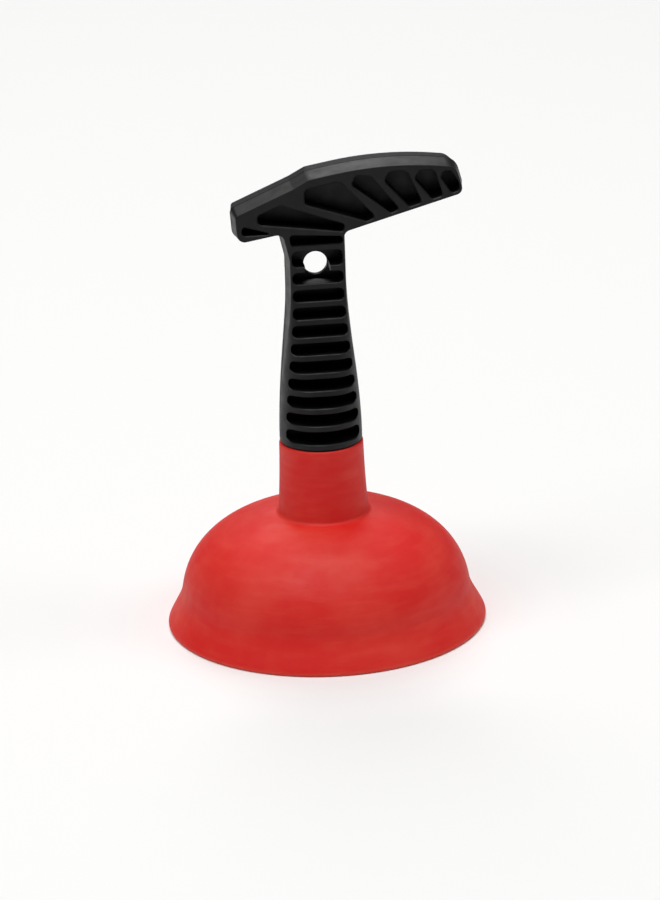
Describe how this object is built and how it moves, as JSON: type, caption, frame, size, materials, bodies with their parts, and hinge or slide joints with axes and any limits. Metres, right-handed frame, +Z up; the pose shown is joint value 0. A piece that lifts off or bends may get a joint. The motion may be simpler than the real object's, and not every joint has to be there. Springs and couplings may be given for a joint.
{
  "type": "toilet plunger",
  "caption": "Small plunger: a flared rubber suction cup with a collar, on a short ribbed plastic T-handle with a hang hole and a lopsided crossbar.",
  "frame": {"origin": "centre of the cup's lip, on the surface that the cup stands on", "axes": "+Z up the axis of the cup and handle, +X towards the long wing of the crossbar, the handle's parting plane is XZ"},
  "size_m": [0.1096, 0.1096, 0.1634],
  "materials": {
    "cup_rubber": "matte moulded red rubber",
    "handle_plastic": "matte black moulded polypropylene"
  },
  "bodies": {
    "cup": {"rubber_cup": "cup_rubber"},
    "handle": {"t_handle": "handle_plastic"}
  },
  "joints": [
    {"name": "plunge", "type": "slide", "parent": "cup", "child": "handle", "axis": [0, 0, -1], "range_m": [0, 0.02], "stiffness_N_per_m": 2000, "deforming": ["rubber_cup"]}
  ]
}
